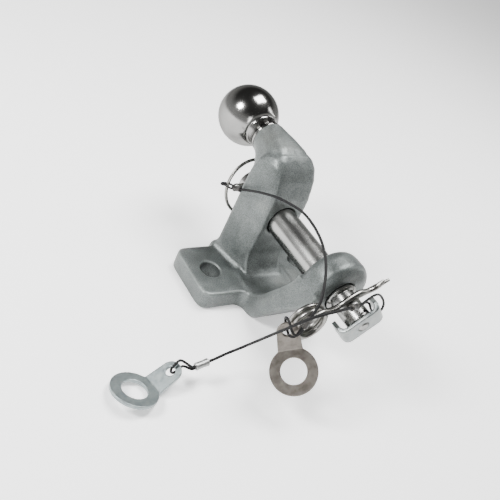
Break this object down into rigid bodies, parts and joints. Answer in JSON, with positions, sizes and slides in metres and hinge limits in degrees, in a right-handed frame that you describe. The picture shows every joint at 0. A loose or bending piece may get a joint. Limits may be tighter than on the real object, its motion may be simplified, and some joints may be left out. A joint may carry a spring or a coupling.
{
  "type": "ball and pin tow hitch",
  "caption": "Forged tow hitch with a ball on its upper arm and a pin through arm and lower jaw, held by a linch pin and a spring clip on lanyards with tab washers.",
  "frame": {"origin": "centre of the mounting face, between the two bolt holes", "axes": "+Z out of the mounting face toward the jaw's nose, +Y toward the ball, +X across the hitch; lying on its mounting face"},
  "size_m": [0.2273, 0.2411, 0.132],
  "materials": {
    "forging": "dull zinc plate over a forged skin",
    "ball_steel": "polished bright zinc",
    "pin_steel": "bright plated",
    "strap_zinc": "dull zinc plate",
    "spring_wire": "bright plated wire",
    "washer_zinc": "rolled zinc-plated sheet",
    "washer_plain": "rolled plated sheet",
    "black_coating": "black plastic coated wire",
    "dark_sleeve": "dark crimped sleeve",
    "bright_sleeve": "bare aluminium sleeve"
  },
  "bodies": {
    "hitch": {"hitch_body": "forging", "tow_ball": "ball_steel", "ring_lanyard_wire": "black_coating", "ring_lanyard_ring_sleeve": "dark_sleeve", "ring_lanyard_ring_eye": "black_coating", "ring_lanyard_washer_sleeve": "dark_sleeve", "ring_lanyard_washer_eye": "black_coating", "handle_lanyard_wire": "black_coating", "handle_lanyard_strap_sleeve": "dark_sleeve", "handle_lanyard_strap_eye": "black_coating", "handle_lanyard_washer_sleeve": "bright_sleeve", "handle_lanyard_washer_eye": "black_coating"},
    "pin": {"main_pin": "pin_steel", "pin_handle": "strap_zinc"},
    "linch": {"linch_pin": "pin_steel", "linch_ring": "spring_wire"},
    "clip": {"r_clip": "spring_wire"},
    "washer_one": {"tab_washer_one": "washer_zinc"},
    "washer_two": {"tab_washer_two": "washer_plain"}
  },
  "joints": [
    {"name": "pin_play", "type": "slide", "parent": "hitch", "child": "pin", "axis": [0, 1, 0], "range_m": [-0.002, 0.002]},
    {"name": "linch_pull", "type": "slide", "parent": "pin", "child": "linch", "axis": [1, 0, 0], "range_m": [0, 0.045], "deforming": ["linch_ring"]},
    {"name": "clip_pull", "type": "slide", "parent": "pin", "child": "clip", "axis": [-0.8686, 0, -0.4955], "range_m": [0, 0.055], "deforming": ["r_clip"]},
    {"name": "washer_one_swivel", "type": "hinge", "parent": "hitch", "child": "washer_one", "pos_m": [-0.1194, -0.0827, 0.0099], "axis": [0, 0, 1], "range_deg": [-12, 12]},
    {"name": "washer_two_swivel", "type": "hinge", "parent": "hitch", "child": "washer_two", "pos_m": [-0.0579, -0.1024, 0.06], "axis": [0, 0, 1], "range_deg": [-8, 8]}
  ]
}
